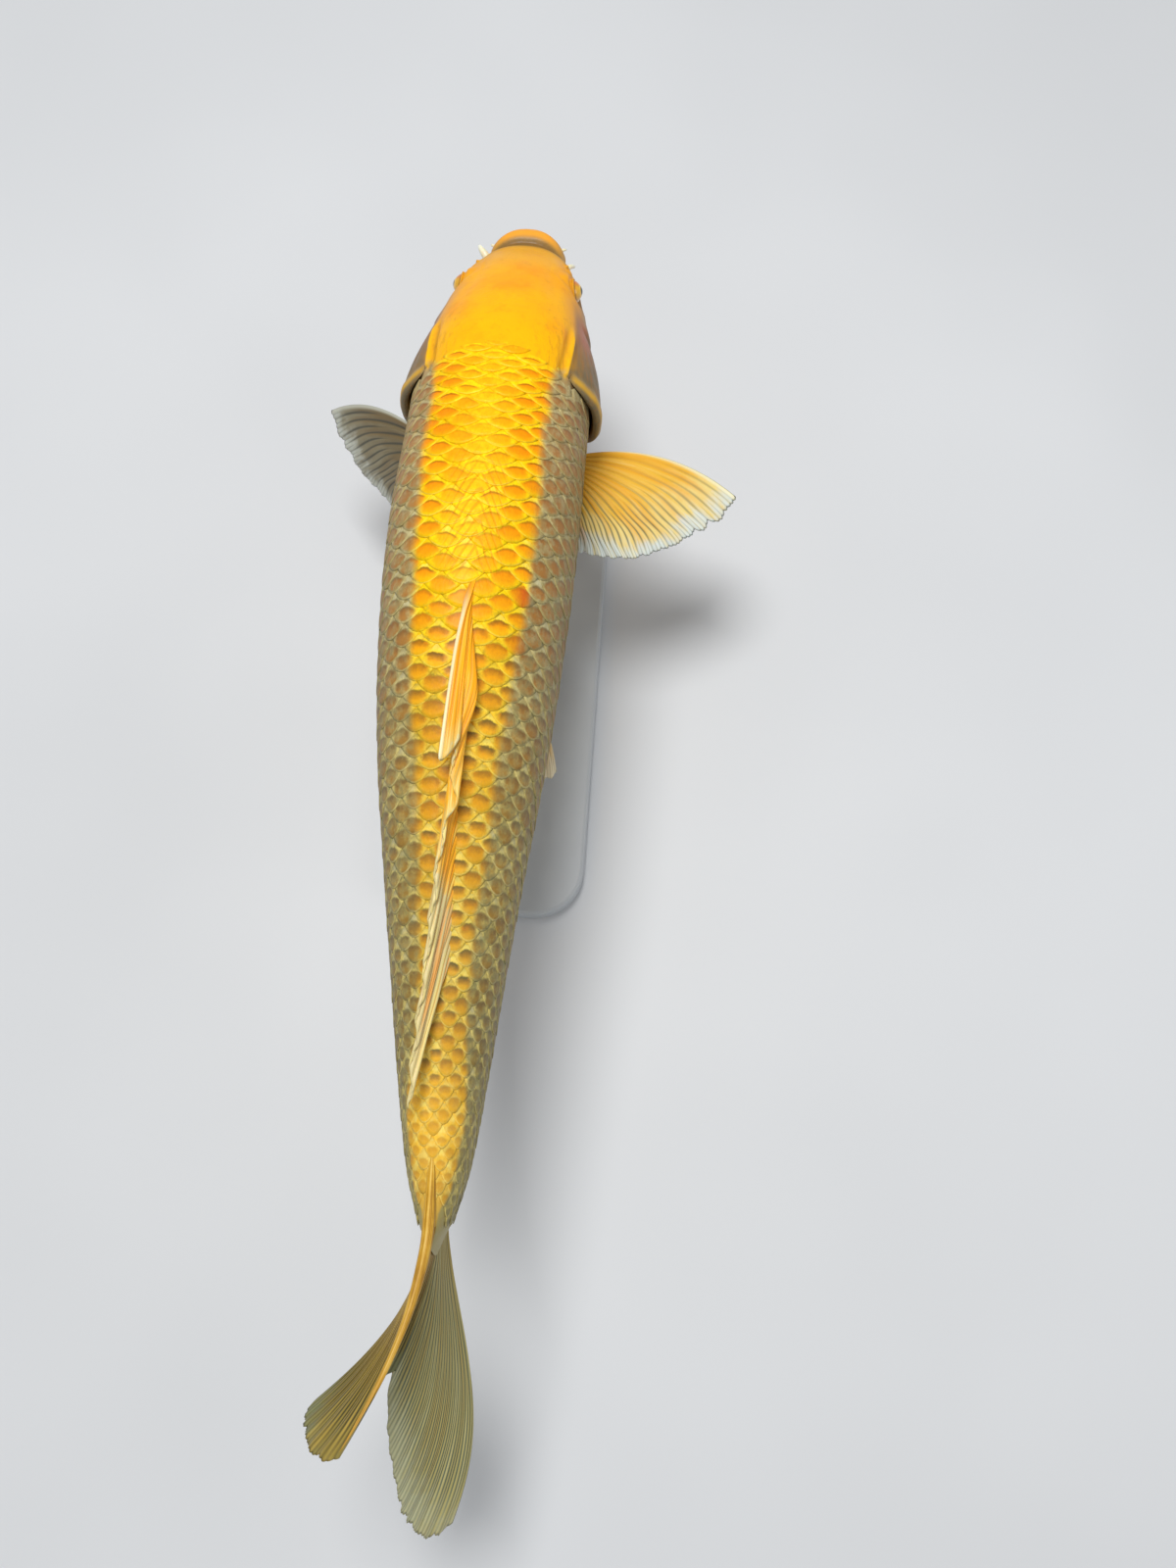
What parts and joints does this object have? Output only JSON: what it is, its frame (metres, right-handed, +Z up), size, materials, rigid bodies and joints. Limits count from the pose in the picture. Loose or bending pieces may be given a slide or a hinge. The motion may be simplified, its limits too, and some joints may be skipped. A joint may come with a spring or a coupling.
{
  "type": "koi carp",
  "caption": "Life-size still model of a golden koi carp swimming, with spread side fins and a swinging tail, held by two rods on a flat base.",
  "frame": {"origin": "centre of the underside of the stand base, on the floor", "axes": "+Z up, +Y the way the fish heads, +X to its right"},
  "size_m": [0.253, 0.7162, 0.2721],
  "materials": {
    "head_skin": "smooth wet skin, orange-yellow on top, duller tan-pink cheeks",
    "scaled_skin": "large overlapping scales with paler net edges, gold on the back and olive tan on the flanks",
    "fin": "thin translucent-looking rays and membrane, gold at the root and whitish at the edge",
    "barbel": "pale cream feelers",
    "eye": "dark pupil in a gold iris under a clear glossy front",
    "base_paint": "satin light grey paint",
    "rod_steel": "brushed"
  },
  "bodies": {
    "root": {"head": "head_skin", "upper_lip": "head_skin", "lower_lip": "head_skin", "gill_cover_left": "head_skin", "gill_cover_right": "head_skin", "trunk_front": "scaled_skin", "trunk_rear": "scaled_skin", "tail_stalk": "scaled_skin", "dorsal_fin": "fin", "anal_fin": "fin", "pectoral_fin_left": "fin", "pectoral_fin_right": "fin", "pelvic_fin_left": "fin", "pelvic_fin_right": "fin", "tail_fin_upper_lobe": "fin", "tail_fin_lower_lobe": "fin", "barbel_corner_left": "barbel", "barbel_corner_right": "barbel", "barbel_lip_left": "barbel", "barbel_lip_right": "barbel", "eye_left": "eye", "eye_right": "eye", "stand_base": "base_paint", "stand_rod_front": "rod_steel", "stand_rod_rear": "rod_steel"}
  },
  "joints": []
}
